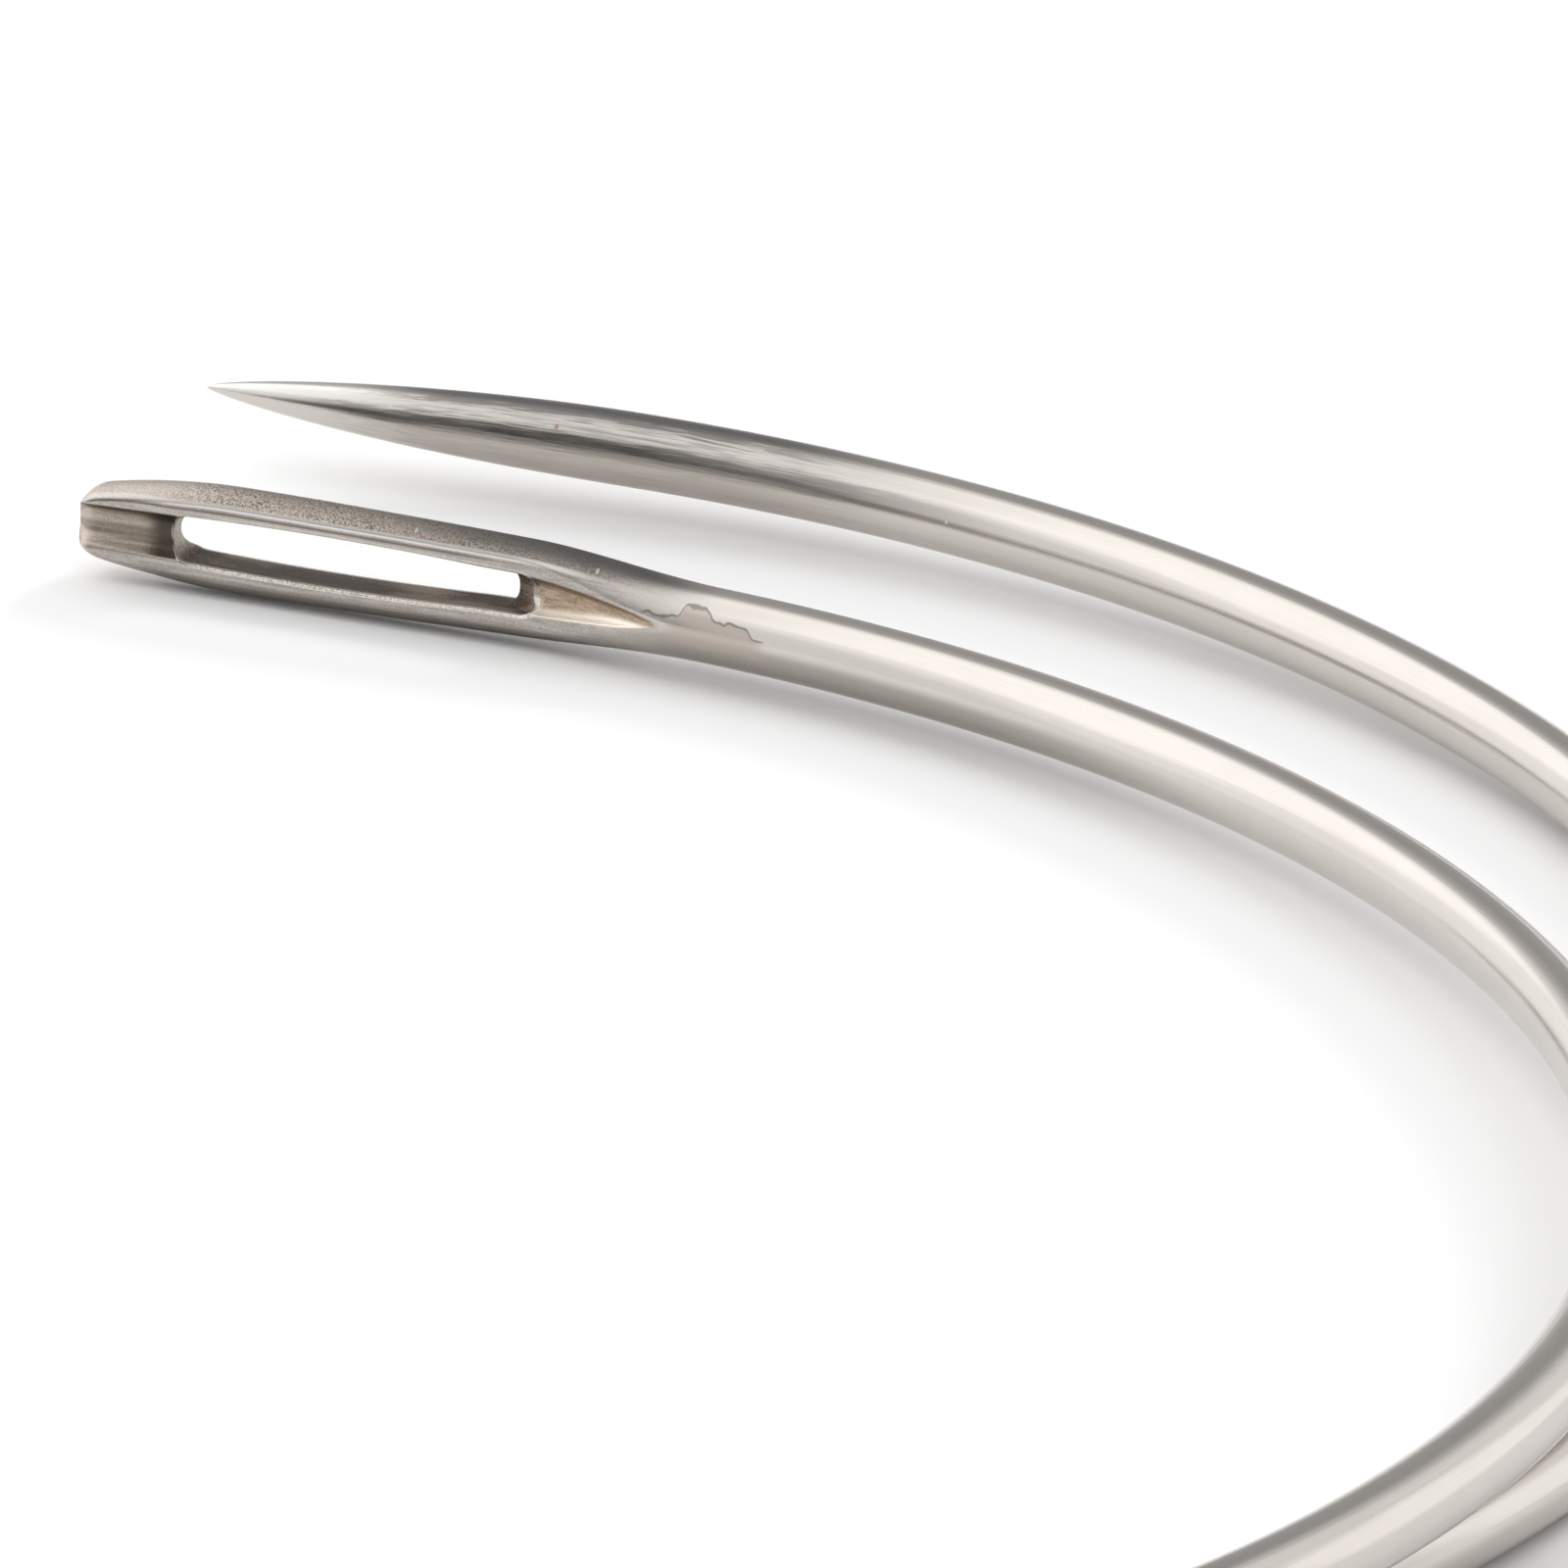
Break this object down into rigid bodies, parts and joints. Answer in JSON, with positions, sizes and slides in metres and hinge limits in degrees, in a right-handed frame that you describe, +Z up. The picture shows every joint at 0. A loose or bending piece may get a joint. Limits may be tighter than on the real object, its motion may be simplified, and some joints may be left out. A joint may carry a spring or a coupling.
{
  "type": "curved needle",
  "caption": "Long curved sewing needle of round steel wire with a ground point and a stamped, pierced long eye, lying across its twin.",
  "frame": {"origin": "middle of the pair's footprint, on the table they lie on", "axes": "+Z up from the table; +Y along the longer side of the footprint, towards the visible eye and point; the mouths of both bends face -X"},
  "size_m": [0.051, 0.0884, 0.0055],
  "materials": {
    "bottom_needle": "satin nickel over ground and stamped steel",
    "top_needle": "satin nickel over ground and stamped steel"
  },
  "bodies": {
    "bottom": {"bottom_needle": "bottom_needle"},
    "top": {"top_needle": "top_needle"}
  },
  "joints": [
    {"name": "lift_off", "type": "slide", "parent": "bottom", "child": "top", "axis": [0, 0, 1], "range_m": [0, 0.03]}
  ]
}
